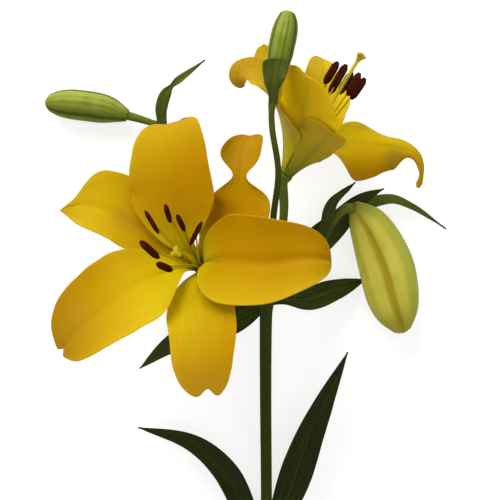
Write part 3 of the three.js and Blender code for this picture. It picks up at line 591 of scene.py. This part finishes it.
# Round bodies: buds, stalks, filaments, anthers, pistils
def round_grid(line, radii, sides, steps, section=None, crowded=False):
    """A closed body along a curve. section(t, angle) scales its radius, and crowded draws its steps
    together at both ends. Its points' places are how far along they are and the angle round it."""
    t = np.linspace(0, 1, steps + 1)
    if crowded:
        t = 0.5 - 0.5 * np.cos(np.pi * t)
    centre = spline(line, t)
    along = unit(spline(line, np.minimum(t + 0.001, 1)) - spline(line, np.maximum(t - 0.001, 0)))
    chord = unit(np.subtract(line[-1], line[0]))
    reference = np.array([0, 0, 1.0]) if abs(chord[2]) < 0.7 else np.array([1.0, 0, 0])
    right = unit(np.cross(along, reference))
    up = np.cross(right, along)
    angle = np.arange(sides) * 2 * np.pi / sides
    tt, aa = np.meshgrid(t, angle, indexing="ij")
    radius = spline(radii, tt) * (section(tt, aa) if section else 1)
    out = right[:, None] * np.cos(aa)[..., None] + up[:, None] * np.sin(aa)[..., None]
    rings = centre[:, None] + out * radius[..., None]
    points = np.vstack([centre[:1], rings.reshape(-1, 3), centre[-1:]])
    order = 1 + np.arange((steps + 1) * sides).reshape(steps + 1, sides)
    a, b = order[:-1], order[1:]
    quads = np.stack([a, np.roll(a, -1, 1), np.roll(b, -1, 1), b], -1).reshape(-1, 4)
    first = order[0].tolist()
    last = order[-1].tolist()
    start = [(0, q, p) for p, q in zip(first, first[1:] + first[:1])]
    end = [(len(points) - 1, p, q) for p, q in zip(last, last[1:] + last[:1])]
    place = np.vstack([[0, 0, 0], np.stack([tt, aa, 0 * tt], -1).reshape(-1, 3), [1, 0, 0]])
    return points, quads.tolist() + start + end, place


def piece_from(name, points, faces, attributes):
    """A smooth mesh object from points in millimetres, in the part's frame and in metres."""
    mesh = bpy.data.meshes.new(name)
    mesh.from_pydata(((points - BOX_MIDDLE) * MM).tolist(), [], faces)
    mesh.validate()
    return object_from(name, mesh, attributes)


def object_from(name, mesh, attributes):
    """A smooth object in the scene, whose points carry three numbers for each attribute."""
    for key, values in attributes.items():
        layer = mesh.attributes.new(key, "FLOAT_VECTOR", "POINT")
        layer.data.foreach_set("vector", np.asarray(values, np.float32).ravel())
    mesh.polygons.foreach_set("use_smooth", np.ones(len(mesh.polygons), bool))
    return placed(name, mesh)


def placed(name, data):
    """An object that is in the scene."""
    made = bpy.data.objects.new(name, data)
    bpy.context.scene.collection.objects.link(made)
    return made


def merged(parts):
    """One set of points, faces and places from several closed bodies."""
    points, faces, places, count = [], [], [], 0
    for p, f, place in parts:
        points.append(p)
        places.append(place)
        faces += [[i + count for i in face] for face in f]
        count += len(p)
    return np.vstack(points), faces, np.vstack(places)


def tepal_phase(t, angle, turn):
    """Angle round a bud from the middle of the nearest tepal."""
    place = np.radians(turn[0] + (turn[1] - turn[0]) * t)
    return np.angle(np.exp(3j * (angle - place))) / 3


def bud_section(turn, cap):
    """Three closed tepals round a bud: a seam between them, which deepens at the tip, and along the
    middle of each a rib between two shallow furrows."""
    def section(t, angle):
        phase = tepal_phase(t, angle, turn)
        seam = np.pi / 3 - np.abs(phase)
        full = np.sin(np.pi * np.clip(t, 0, 1)) ** 0.5
        lobes = 1 + 0.045 * np.cos(3 * phase) * full
        rib = 0.025 * bump(phase, 0.09)
        furrow = 0.022 * bump(np.abs(phase) - 0.24, 0.1)
        groove = (0.05 + 0.10 * t ** 6) * bump(seam, 0.085) + 0.03 * bump(seam, 0.25)
        end = np.sqrt(1 - np.clip((t - 1 + cap) / cap, 0, 1) ** 2)
        return lobes * (1 + (rib - furrow - groove) * full) * np.maximum(end, 0.02)
    return section


def bud_places(place, turn):
    """How far along a bud its points are, how deep in a seam and how far from a tepal's middle."""
    phase = np.abs(tepal_phase(place[:, 0], place[:, 1], turn))
    return np.stack([place[:, 0], bump(np.pi / 3 - phase, 0.21), phase], -1)


def make_bud(name, bud):
    steps, sides = BUD_STEPS
    radii = [bud["radius"] * share for share in bud["profile"]]
    section = bud_section(bud["turn"], bud["cap"])
    points, faces, place = round_grid(bud["line"], radii, sides, steps, section, crowded=True)
    angle = place[:, 1]
    way = np.stack([np.cos(angle), np.sin(angle), 0 * angle], -1)
    return piece_from(name, points, faces, {"run": bud_places(place, bud["turn"]), "way": way})


# Stem and stalks, grown together
def stalk_line(name):
    """A stalk's middle line. A bloom's stalk ends in its seat, along the bloom's axis, and a bud's
    stalk runs a little way into the bud."""
    line = list(STALKS[name]["line"])
    if name in BUDS:
        start, onward = np.array(BUDS[name]["line"][:2], float)
        return line[:-1] + [start + unit(onward - start) * JOINT]
    base = np.array(BLOOMS[name]["base"], float)
    axis = unit(BLOOMS[name]["axis"])
    return line + [base - axis * d for d in STALKS[name]["seat"]]


def make_stem():
    """The stem and its stalks, joined into one skin, with low ribs and a swelling at each leaf."""
    lines = {"stem": (STEM["line"], STEM["radii"])}
    for name, stalk in STALKS.items():
        lines[name] = (stalk_line(name), stalk["radii"])
    sides = 36
    parts = []
    for name, (line, radii) in lines.items():
        steps = 300 if name == "stem" else 120
        parts.append(round_grid(line, radii, sides, steps))
    points, faces, _ = merged(parts)
    rough = piece_from("stem_rough", points, faces, {})
    remesh = rough.modifiers.new("join", "REMESH")
    remesh.mode = "VOXEL"
    remesh.voxel_size = STEM_VOXEL * MM
    smooth = rough.modifiers.new("soften", "SMOOTH")
    smooth.factor = 0.5
    smooth.iterations = 4
    graph = bpy.context.evaluated_depsgraph_get()
    mesh = bpy.data.meshes.new_from_object(rough.evaluated_get(graph))
    bpy.data.objects.remove(rough)
    co = np.empty(len(mesh.vertices) * 3)
    mesh.vertices.foreach_get("co", co)
    points = co.reshape(-1, 3) / MM + BOX_MIDDLE
    place, out = stem_places(points, lines)
    ribs = STEM_RIBS * np.cos(6 * place[:, 1]) * (place[:, 2] < 0.5)
    points += out * (ribs + leaf_scars(points))[:, None]
    mesh.vertices.foreach_set("co", ((points - BOX_MIDDLE) * MM).ravel())
    mesh.update()
    return object_from("stem_and_stalks", mesh, {"run": place})


def stem_places(points, lines):
    """For each point: how far along the nearest line it is, its angle round it, and 0 on the stem or
    a stalk's tone. Also the way out from that line."""
    stations = 241
    batch = 8000
    best = np.full(len(points), np.inf)
    place = np.zeros((len(points), 3))
    out = np.zeros((len(points), 3))
    for name, (line, radii) in lines.items():
        tone = 0.0 if name == "stem" else STALKS[name].get("tone", 1.0)
        t = np.linspace(0, 1, stations)
        centre = spline(line, t)
        radius = spline(radii, t)
        for start in range(0, len(points), batch):
            chunk = slice(start, start + batch)
            offset = points[chunk, None] - centre[None]
            distance = np.linalg.norm(offset, axis=-1) - radius
            near = np.argmin(distance, axis=1)
            rows = np.arange(len(near))
            d = np.abs(distance[rows, near])
            better = d < best[chunk]
            way = unit(offset[rows, near])
            angle = np.arctan2(way[:, 2], way[:, 0])
            fresh = np.stack([t[near], angle, np.full(len(near), tone)], -1)
            best[chunk] = np.where(better, d, best[chunk])
            place[chunk] = np.where(better[:, None], fresh, place[chunk])
            out[chunk] = np.where(better[:, None], way, out[chunk])
    return place, out


def leaf_scars(points):
    """The stem swells a little where each leaf grows from it."""
    swell = np.zeros(len(points))
    for leaf in LEAVES.values():
        distance = np.linalg.norm(points - np.array(leaf["line"][0], float), axis=1)
        swell += 0.35 * bump(np.maximum(distance - 2.5, 0), 2.2)
    return np.minimum(swell, 0.5)


# Stamens and pistils
def filament_section(t, angle):
    """A filament is a little flat."""
    return 1 + 0.06 * np.cos(2 * angle)


def anther_section(t, angle):
    """Two pollen sacs side by side, each with its own furrow."""
    sacs = 1 + 0.16 * np.cos(2 * angle) - 0.16 * bump(np.abs(np.sin(angle)) - 1, 0.06)
    grain = 0.03 * np.sin(23 * angle + 40 * t) * np.sin(61 * t)
    return sacs + grain


def make_stamens(bloom_name, bloom):
    """A bloom's filaments, which curve up from its middle, and the anthers that they carry."""
    axes = bloom_axes(bloom)
    base = np.array(bloom["base"], float)
    filaments, anthers = [], []
    for azimuth, middle, heading, half in bloom["stamens"]:
        outward = np.array([math.cos(math.radians(azimuth)), math.sin(math.radians(azimuth)), 0])
        anther = np.array(middle, float)
        way = unit(heading)

        def at(r, z):
            return (outward * r + np.array([0, 0, z])) @ axes + base

        def reach(share, rise):
            return anther + way * share * ANTHER_LENGTH + np.array([0, 0, rise])

        upper = at(3.6, 16) * 0.55 + anther * 0.45
        below = anther - np.array([0, 0, 1.1])
        filaments.append(round_grid(
            [at(1.4, 0.4), at(2.6, 6), at(3.4, 15), upper, below],
            (0.75, 0.72, 0.68, 0.55, 0.3), 14, 60, filament_section,
        ))
        line = [reach(-0.5, -0.8), reach(-0.25, 0), reach(0, 0.3), reach(0.25, 0), reach(0.5, -0.8)]
        radii = [half * share for share in (0.4, 0.9, 1, 1, 1, 0.9, 0.4)]
        anthers.append(round_grid(line, radii, 40, 70, anther_section, crowded=True))
    pieces = []
    for kind, parts in (("filaments", filaments), ("anthers", anthers)):
        points, faces, place = merged(parts)
        pieces.append(piece_from(f"{bloom_name}_{kind}", points, faces, {"run": place}))
    return pieces


def ovary_section(t, angle):
    """Six shallow furrows on the ovary, which fade out up the style."""
    return 1 + 0.09 * np.cos(6 * angle) * np.clip(1 - t * 2.6, 0, 1)


def stigma_section(t, angle):
    """Three lobes, with a slit between each two."""
    spread = np.clip(t * 1.6, 0, 1)
    slit = bump(np.cos(1.5 * angle + np.pi / 2), 0.25)
    return 1 + spread * (0.34 * np.cos(3 * angle) - 0.10 * slit)


def make_pistil(bloom_name, bloom):
    """Ovary, style and stigma, grown together."""
    axes = bloom_axes(bloom)
    base = np.array(bloom["base"], float)
    tip = np.array(bloom["stigma"], float)

    def at(z):
        return np.array([0, 0, z]) @ axes + base

    bend = at(34) * 0.65 + tip * 0.35
    before = bend * 0.1 + tip * 0.9
    onward = unit(tip - before)
    style = round_grid(
        [at(0.3), at(6), at(14), at(22), bend, before, tip],
        (0.7, 0.8, 1.6, 1.85, 1.8, 1.4, 0.95, 0.95, 1.0, 1.15, 1.6), 36, 120, ovary_section,
    )
    beyond = [tip + onward * d for d in (-2.5, 0.4, 2.6)]
    head = round_grid(beyond, (1.2, 1.5, 2.0, 2.6, 2.4, 0.8), 60, 30, stigma_section, crowded=True)
    style[2][:, 2] = 0
    head[2][:, 2] = 1
    points, faces, place = merged([style, head])
    return piece_from(f"{bloom_name}_style", points, faces, {"run": place})


# Materials
class Shader:
    """A procedural material, built node by node."""

    def __init__(self, name, **settings):
        self.material = bpy.data.materials.new(name)
        self.material.use_nodes = True
        self.tree = self.material.node_tree
        self.tree.nodes.clear()
        self.surface = self.tree.nodes.new("ShaderNodeBsdfPrincipled")
        output = self.tree.nodes.new("ShaderNodeOutputMaterial")
        self.tree.links.new(self.surface.outputs["BSDF"], output.inputs["Surface"])
        for key, value in settings.items():
            self.surface.inputs[key.replace("_", " ")].default_value = value

    def node(self, kind, inputs=(), **settings):
        node = self.tree.nodes.new("ShaderNode" + kind)
        for key, value in settings.items():
            setattr(node, key, value)
        for socket, value in dict(inputs).items():
            self.feed(node.inputs[socket], value)
        return node

    def feed(self, socket, value):
        if isinstance(value, bpy.types.NodeSocket):
            self.tree.links.new(value, socket)
        elif isinstance(value, tuple) and socket.type == "RGBA":
            socket.default_value = (*value, 1)
        else:
            socket.default_value = value

    def places(self, attribute):
        """The three numbers that each point of a mesh carries."""
        source = self.node("Attribute", attribute_name=attribute)
        split = self.node("SeparateXYZ", {"Vector": source.outputs["Vector"]})
        return split.outputs["X"], split.outputs["Y"], split.outputs["Z"]

    def math(self, operation, a, b=0.5, c=0.5):
        return self.node("Math", {0: a, 1: b, 2: c}, operation=operation).outputs[0]

    def times(self, a, b):
        return self.math("MULTIPLY", a, b)

    def plus(self, a, b, share):
        """a and a share of b."""
        return self.math("MULTIPLY_ADD", b, share, a)

    def step(self, value, low, high, start=0.0, end=1.0):
        """A smooth step from start to end as value goes from low to high."""
        inputs = {"Value": value, "From Min": low, "From Max": high, "To Min": start, "To Max": end}
        return self.node("MapRange", inputs, interpolation_type="SMOOTHSTEP").outputs["Result"]

    def mix(self, share, a, b):
        return self.node("Mix", {0: share, 6: a, 7: b}, data_type="RGBA").outputs[2]

    def over(self, base, colour, *step):
        """A colour laid over base, by a step of some value."""
        return self.mix(self.step(*step), base, colour)

    def ramp(self, value, stops):
        node = self.node("ValToRGB", {"Fac": value})
        elements = node.color_ramp.elements
        while len(elements) < len(stops):
            elements.new(0.5)
        for element, (place, colour) in zip(elements, stops):
            element.position = place
            element.color = (*colour, 1)
        return node.outputs["Color"]

    def noise(self, vector, scale, detail=3.0, roughness=0.5):
        inputs = {"Vector": vector, "Scale": scale, "Detail": detail, "Roughness": roughness}
        return self.node("TexNoise", inputs).outputs["Fac"]

    def cells(self, scale):
        """Distance from the middle of the nearest of many small cells."""
        return self.node("TexVoronoi", {"Vector": self.position(), "Scale": scale}).outputs["Distance"]

    def combine(self, x, y, z=0.0):
        return self.node("CombineXYZ", {"X": x, "Y": y, "Z": z}).outputs["Vector"]

    def stretched(self, x, x_scale, y, y_scale, seed):
        """A place on a surface, drawn out by a scale each way."""
        return self.combine(self.times(x, x_scale), self.times(y, y_scale), seed)

    def position(self):
        return self.node("TexCoord").outputs["Object"]

    def finish(self, colour, roughness, height, strength, distance):
        """The material, with its colour, its roughness and the relief that height gives it."""
        self.feed(self.surface.inputs["Base Color"], colour)
        self.feed(self.surface.inputs["Roughness"], roughness)
        inputs = {"Height": height, "Strength": strength, "Distance": distance}
        normal = self.node("Bump", inputs).outputs["Normal"]
        self.feed(self.surface.inputs["Normal"], normal)
        return self.material


def tissue(name, softness, depth, shine):
    """A plant's skin. softness: the share of light that scatters in it, as deep as depth."""
    return Shader(
        name, Subsurface_Weight=softness, Subsurface_Scale=depth, Specular_IOR_Level=shine,
    )


def petal_material(name, back, seed):
    """A tepal: green in the throat and along the nectar furrow, deep yellow above with amber that is
    partly painted shade, paler towards the margin, partly as a painted highlight, olive on its back,
    with veins that run from root to tip, and a patch of painted shade or, where its strength is below 0,
    painted sunlight."""
    shader = tissue(name, 0.12, 0.002, 0.025)
    shader.surface.inputs["Subsurface Radius"].default_value = (1, 0.6, 0.1)
    u, v, side = shader.places("blade")
    tone, painted_shading, rear_share = shader.places("tone")
    edge = shader.math("ABSOLUTE", v)
    veins = shader.noise(shader.stretched(v, 16, u, 1.3, seed), 1, 4, 0.6)
    broad = shader.noise(shader.stretched(v, 3.2, u, 1.6, seed + 7), 1, 2, 0.5)
    face = shader.ramp(u, INSIDE)
    # Paler towards the margin: partly the tepal's own colour and partly a painted highlight.
    face = shader.over(face, PETAL["margin"], edge, 0.6, 1, 0, 0.3)
    face = shader.over(face, PETAL["blush"], broad, 0.35, 0.7, 0, 0.25)
    # Amber: partly the tepal's own deeper colour and partly painted shade.
    face = shader.mix(shader.times(tone, shader.step(u, 0.12, 0.4)), face, PETAL["amber"])
    furrow = shader.times(shader.step(edge, 0.03, 0.15, 0.8, 0), shader.step(u, 0.12, 0.42, 1, 0))
    face = shader.mix(furrow, face, PETAL["throat"])
    keel = shader.times(shader.step(edge, 0.02, 0.22, 0.55, 0), shader.step(u, 0.2, 1, 1, 0.25))
    rear = shader.mix(keel, shader.ramp(u, back), PETAL["keel"])
    rear = shader.mix(rear_share, rear, face)
    base = shader.over(rear, face, side, -0.6, 0.4)
    # Painted shade on a patch of the tepal, and painted sunlight where that patch is below 0.
    base = shader.mix(painted_shading, base, PETAL["shade"])
    base = shader.mix(shader.times(painted_shading, -1), base, PETAL["sunlit"])
    base = shader.over(base, PETAL["vein"], veins, 0.3, 0.75, 0, 0.14)
    grain = shader.noise(shader.position(), 900, 2, 0.6)
    papillae = shader.step(shader.cells(420), 0.15, 0.5, 1, 0)
    papillae = shader.times(papillae, shader.step(u, 0.12, 0.4, 1, 0))
    height = shader.plus(shader.plus(veins, papillae, 0.5), grain, 0.12)
    return shader.finish(base, shader.step(veins, 0.2, 0.8, 0.42, 0.6), height, 0.35, 0.0005)


def anther_material():
    """Dark clumps of pollen."""
    shader = Shader("anther_pollen", Specular_IOR_Level=0.03)
    clumps = shader.noise(shader.position(), 700, 4, 0.7)
    base = shader.ramp(clumps, ((0.25, (0.014, 0.0015, 0.0004)), (0.75, (0.075, 0.012, 0.002))))
    height = shader.plus(clumps, shader.cells(3200), 0.6)
    return shader.finish(base, shader.step(clumps, 0.3, 0.7, 0.75, 0.95), height, 0.6, 0.0004)


def filament_material():
    """Yellow above a green foot, with streaks along it. The yellow is brightened beyond its own colour,
    partly painted light that lifts the shade in the throat.
    """
    shader = tissue("filament_skin", 0.1, 0.001, 0.04)
    t, angle, _ = shader.places("run")
    streaks = shader.noise(shader.combine(shader.math("SINE", angle), shader.times(t, 3)), 4)
    base = shader.ramp(t, (
        (0, (0.2, 0.2, 0.006)), (0.35, (0.46, 0.38, 0.005)), (0.8, (0.46, 0.35, 0.006)),
        (1, (0.34, 0.2, 0.012)),
    ))
    base = shader.over(base, (0.22, 0.17, 0.005), streaks, 0.35, 0.7, 0, 0.4)
    return shader.finish(base, shader.step(streaks, 0.3, 0.7, 0.4, 0.55), streaks, 0.2, 0.0003)


def style_material():
    """A green ovary, a yellow style and a sticky, spotted stigma. The ovary and style are brightened
    beyond their own colour, partly painted light that lifts the shade in the throat.
    """
    shader = tissue("style_skin", 0.1, 0.001, 0.05)
    t, _, head = shader.places("run")
    base = shader.ramp(t, (
        (0, (0.14, 0.16, 0.008)), (0.3, (0.4, 0.36, 0.01)), (0.5, (0.52, 0.42, 0.007)),
        (1, (0.42, 0.33, 0.005)),
    ))
    spots = shader.noise(shader.position(), 1500, 3, 0.6)
    sticky = shader.mix(shader.step(spots, 0.35, 0.65), (0.3, 0.235, 0.003), (0.42, 0.335, 0.01))
    base = shader.mix(head, base, sticky)
    return shader.finish(base, shader.step(spots, 0.3, 0.7, 0.3, 0.5), spots, 0.3, 0.0003)


def bud_material(name, pale, green, seam, tip, shade, flank, furrows, foot, seed):
    """A closed bud: a band of painted light along each tepal's flank, darker in its seams, green at its
    foot, its own tone towards the tip, and painted shade on one flank, which on bud_right is a darker,
    greener flank."""
    shader = tissue(name, 0.08, 0.002, 0.06)
    t, groove, phase = shader.places("run")
    across, _, _ = shader.places("way")
    mottle = shader.noise(shader.position(), 90, 4, 0.6)
    streaks = shader.noise(shader.stretched(t, 2, groove, 9, seed), 2, 4, 0.6)
    base = shader.over(pale, green, mottle, 0.3, 0.7, 0.15, 0.75)
    # A paler band on each side of a tepal's middle, painted light.
    painted_light_band = shader.math("ABSOLUTE", shader.math("SUBTRACT", phase, 0.5))
    base = shader.over(base, pale, painted_light_band, 0.05, 0.22, 0.45, 0)
    furrow = shader.math("ABSOLUTE", shader.math("SUBTRACT", phase, 0.2))
    base = shader.over(base, seam, furrow, 0.02, 0.13, furrows, 0)
    base = shader.over(base, tip, t, 0.72, 1, 0, 0.6)
    base = shader.over(base, BUD_FOOT, t, 0, foot, 0.65, 0)
    # Painted shade on one flank; on bud_right a darker, greener flank.
    begin, full, share = flank
    base = shader.over(base, shade, across, begin, full, 0, share)
    base = shader.over(base, seam, groove, 0.15, 0.9, 0, 0.85)
    base = shader.over(base, green, streaks, 0.4, 0.75, 0, 0.3)
    height = shader.plus(streaks, shader.noise(shader.position(), 1200, 2, 0.5), 0.25)
    return shader.finish(base, shader.step(mottle, 0.3, 0.7, 0.4, 0.56), height, 0.25, 0.0004)


def leaf_material(name, dark, light, seed):
    """A leaf: parallel veins from base to tip, a paler midrib and a duller underside."""
    shader = tissue(name, 0.05, 0.001, 0.05)
    u, v, side = shader.places("blade")
    edge = shader.math("ABSOLUTE", v)
    lines = shader.math("SINE", shader.times(v, 44))
    wander = shader.noise(shader.stretched(v, 9, u, 3, seed), 1, 3, 0.6)
    base = shader.over(dark, light, wander, 0.3, 0.72)
    base = shader.over(base, light, lines, 0.2, 1, 0, 0.22)
    base = shader.over(base, tuple(1.5 * c for c in light), edge, 0.02, 0.1, 0.5, 0)
    base = shader.over(base, (0.045, 0.062, 0.016), side, -0.5, 0.5, 0.45, 0)
    height = shader.plus(shader.times(lines, 0.35), wander, 0.8)
    return shader.finish(base, shader.step(wander, 0.3, 0.7, 0.38, 0.55), height, 0.4, 0.0004)


def stem_material():
    """Green skin with fine lengthwise streaks, darker down the stem and paler on the stalks."""
    shader = tissue("stem_skin", 0.05, 0.001, 0.02)
    t, angle, stalk = shader.places("run")
    sine = shader.math("SINE", angle)
    cosine = shader.math("COSINE", angle)
    streaks = shader.noise(shader.combine(sine, cosine, shader.times(t, 2.5)), 6, 4, 0.6)
    mottle = shader.noise(shader.position(), 160, 4, 0.65)
    lower = shader.ramp(t, (
        (0, (0.03, 0.042, 0.005)), (0.6, (0.032, 0.044, 0.005)), (1, (0.052, 0.068, 0.009)),
    ))
    upper = shader.ramp(t, (
        (0, (0.035, 0.05, 0.006)), (0.5, (0.06, 0.075, 0.008)), (0.85, (0.12, 0.14, 0.02)),
        (1, (0.14, 0.165, 0.02)),
    ))
    base = shader.mix(stalk, lower, upper)
    base = shader.over(base, (0.125, 0.15, 0.026), stalk, 1, 2, 0, 0.8)
    base = shader.over(base, (0.022, 0.028, 0.003), streaks, 0.35, 0.7, 0, 0.55)
    base = shader.over(base, (0.1, 0.115, 0.012), mottle, 0.5, 0.8, 0, 0.25)
    height = shader.plus(streaks, mottle, 0.3)
    return shader.finish(base, shader.step(mottle, 0.3, 0.7, 0.4, 0.58), height, 0.35, 0.0004)


# Assembly
def dress(piece, node, material):
    """The piece stands for a node of the part and takes a material."""
    piece.data.materials.append(material)
    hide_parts(node)
    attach(piece, "root")


rng = np.random.default_rng(SEED)
petal_skins = dict(
    inner_tepal=petal_material("inner_tepal", INNER_BACK, 1),
    outer_tepal=petal_material("outer_tepal", OUTER_BACK, 4),
)
leaf_skins = {name: leaf_material(name, **skin) for name, skin in LEAF_SKINS.items()}
anther_skin = anther_material()
filament_skin = filament_material()
style_skin = style_material()
for bloom_name, bloom in BLOOMS.items():
    for tepal_name, tepal in bloom["tepals"].items():
        piece = make_blade(f"{bloom_name}_petal_{tepal_name}", tepal, tepal_lines(tepal, bloom), rng)
        dress(piece, f"{bloom_name}_tepal_{tepal_name}", petal_skins[tepal["skin"]])
    filaments, anthers = make_stamens(bloom_name, bloom)
    dress(filaments, f"{bloom_name}_stamens", filament_skin)
    dress(anthers, f"{bloom_name}_stamens", anther_skin)
    dress(make_pistil(bloom_name, bloom), f"{bloom_name}_pistil", style_skin)

for name, bud in BUDS.items():
    dress(make_bud(name + "_closed", bud), name, bud_material(name + "_skin", **BUD_SKINS[name]))

for name, own in LEAVES.items():
    leaf = dict(LEAF, **own)
    piece = make_blade(name + "_blade", leaf, leaf_lines(leaf), rng)
    dress(piece, name, leaf_skins[leaf["skin"]])

dress(make_stem(), "stem", stem_material())


# Floor, light and camera
def make_floor():
    mesh = bpy.data.meshes.new("floor")
    ways = ((-1, -1), (1, -1), (1, 1), (-1, 1))
    corners = [(x * FLOOR_HALF, y * FLOOR_HALF, 0) for x, y in ways]
    mesh.from_pydata(corners, [], [(0, 1, 2, 3)])
    floor = placed("floor", mesh)
    floor.location.z = -FLOOR_DROP
    shader = Shader("floor_paper", Roughness=0.9, Specular_IOR_Level=0.0, Emission_Strength=0.72)
    shader.surface.inputs["Emission Color"].default_value = (1, 1, 1, 1)
    fibre = shader.noise(shader.position(), 60.0)
    paper = shader.mix(fibre, (0.32, 0.32, 0.32), (0.34, 0.34, 0.34))
    shader.feed(shader.surface.inputs["Base Color"], paper)
    mesh.materials.append(shader.material)


def make_light(name, position, target, size, power):
    light = bpy.data.lights.new(name, "AREA")
    light.shape = "DISK"
    light.size = size
    light.energy = power
    lamp = placed(name, light)
    lamp.location = position
    lamp.rotation_mode = "QUATERNION"
    lamp.rotation_quaternion = Vector(np.subtract(target, position)).to_track_quat("-Z", "Y")


def make_world():
    world = bpy.data.worlds.new("studio")
    world.use_nodes = True
    background = world.node_tree.nodes["Background"]
    background.inputs["Color"].default_value = (1, 1, 1, 1)
    background.inputs["Strength"].default_value = WORLD_STRENGTH
    bpy.context.scene.world = world


def make_camera():
    """Without a turn of its own, a camera looks straight down."""
    camera = bpy.data.cameras.new("camera")
    camera.sensor_width = SENSOR
    camera.lens = SENSOR * (CAMERA_HEIGHT - FRAME_LEVEL) / FRAME_WIDTH
    eye = placed("camera", camera)
    eye.location = (np.array([*CAMERA_POINT, CAMERA_HEIGHT]) - BOX_MIDDLE) * MM
    bpy.context.scene.camera = eye


make_floor()
for name, light in LIGHTS.items():
    make_light(name, *light)
make_camera()
make_world()
bpy.context.scene.view_settings.view_transform = "Standard"
